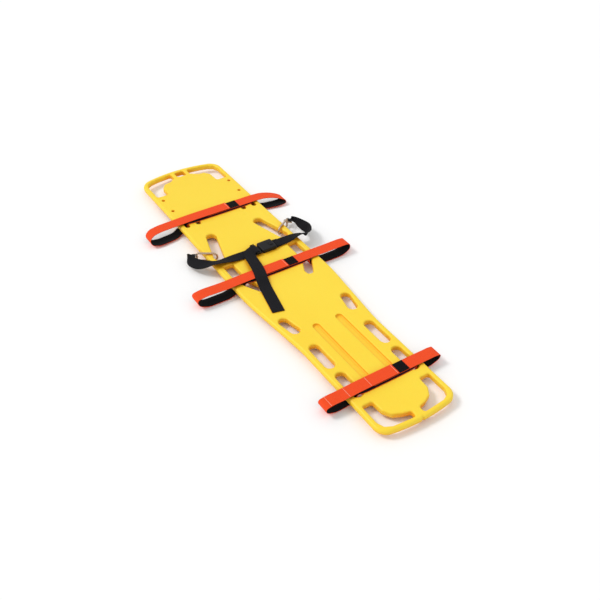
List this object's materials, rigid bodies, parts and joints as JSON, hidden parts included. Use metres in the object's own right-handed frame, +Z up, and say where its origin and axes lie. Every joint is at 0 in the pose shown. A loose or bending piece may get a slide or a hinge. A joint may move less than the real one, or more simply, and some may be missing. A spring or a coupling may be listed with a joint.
{
  "type": "spine board",
  "caption": "Yellow plastic spine board with hand holes, orange hook-and-loop body straps, and a black harness strap with snap hooks and a push-button buckle.",
  "frame": {"origin": "floor level under the middle of the board, on the middle runner's bottom face", "axes": "+X to the board's right seen from above with the head end up, +Y towards the head end, +Z up out of the lying surface"},
  "size_m": [0.7381, 1.8268, 0.064],
  "materials": {
    "board_plastic": "satin",
    "foam": "matte",
    "tube_metal": "satin",
    "plug_plastic": "satin",
    "orange_webbing": "matte",
    "black_lining": "matte",
    "black_hook_tape": "matte",
    "black_webbing": "matte",
    "black_plastic": "satin",
    "button_plastic": "satin",
    "spring_steel": "satin",
    "hook_metal": "polished",
    "plated_steel": "satin"
  },
  "bodies": {
    "board": {"board_shell": "board_plastic", "buckle_cover_lower": "black_plastic", "buckle_cover_upper": "black_plastic", "buckle_frame": "plated_steel", "button_spring": "spring_steel", "chest_strap_hook_patch": "black_hook_tape", "chest_strap_lining": "black_lining", "chest_strap_webbing": "orange_webbing", "fill_plugs": "plug_plastic", "foam_core": "foam", "harness_strap_left": "black_webbing", "harness_strap_right": "black_webbing", "hip_strap_hook_patch": "black_hook_tape", "hip_strap_lining": "black_lining", "hip_strap_webbing": "orange_webbing", "left_snap_hook": "hook_metal", "leg_strap_hook_patch": "black_hook_tape", "leg_strap_lining": "black_lining", "leg_strap_webbing": "orange_webbing", "pawl_pin": "plated_steel", "right_snap_hook": "hook_metal", "stiffener_tubes": "tube_metal", "tongue_plate": "plated_steel"},
    "left_gate": {"left_hook_gate": "hook_metal", "left_gate_rivet": "plated_steel", "left_gate_plunger": "plated_steel", "left_gate_spring": "spring_steel"},
    "right_gate": {"right_hook_gate": "hook_metal", "right_gate_rivet": "plated_steel", "right_gate_plunger": "plated_steel", "right_gate_spring": "spring_steel"},
    "button": {"push_button": "button_plastic"},
    "pawl": {"latch_pawl": "plated_steel"},
    "adjuster": {"adjuster_bar": "plated_steel"}
  },
  "joints": [
    {"name": "left_gate_hinge", "type": "hinge", "parent": "board", "child": "left_gate", "pos_m": [-0.22149, 0.26859, 0.009], "axis": [-0.5151, -0.8571, 0], "range_deg": [0, 25]},
    {"name": "right_gate_hinge", "type": "hinge", "parent": "board", "child": "right_gate", "pos_m": [0.22149, 0.28659, 0.009], "axis": [-0.5151, 0.8571, 0], "range_deg": [0, 25]},
    {"name": "button_press", "type": "slide", "parent": "board", "child": "button", "axis": [0, 0, -1], "range_m": [0, 0.0033], "deforming": ["button_spring"]},
    {"name": "pawl_tip", "type": "hinge", "parent": "board", "child": "pawl", "pos_m": [0.05, 0.165, 0.052], "axis": [0, 1, 0], "range_deg": [0, 16.1]},
    {"name": "adjuster_slide", "type": "slide", "parent": "board", "child": "adjuster", "axis": [1, 0, 0], "range_m": [0, 0.004]}
  ],
  "couplings": [
    {"joint": "pawl_tip", "follows": "button_press", "rad_per_m": 84.622}
  ]
}
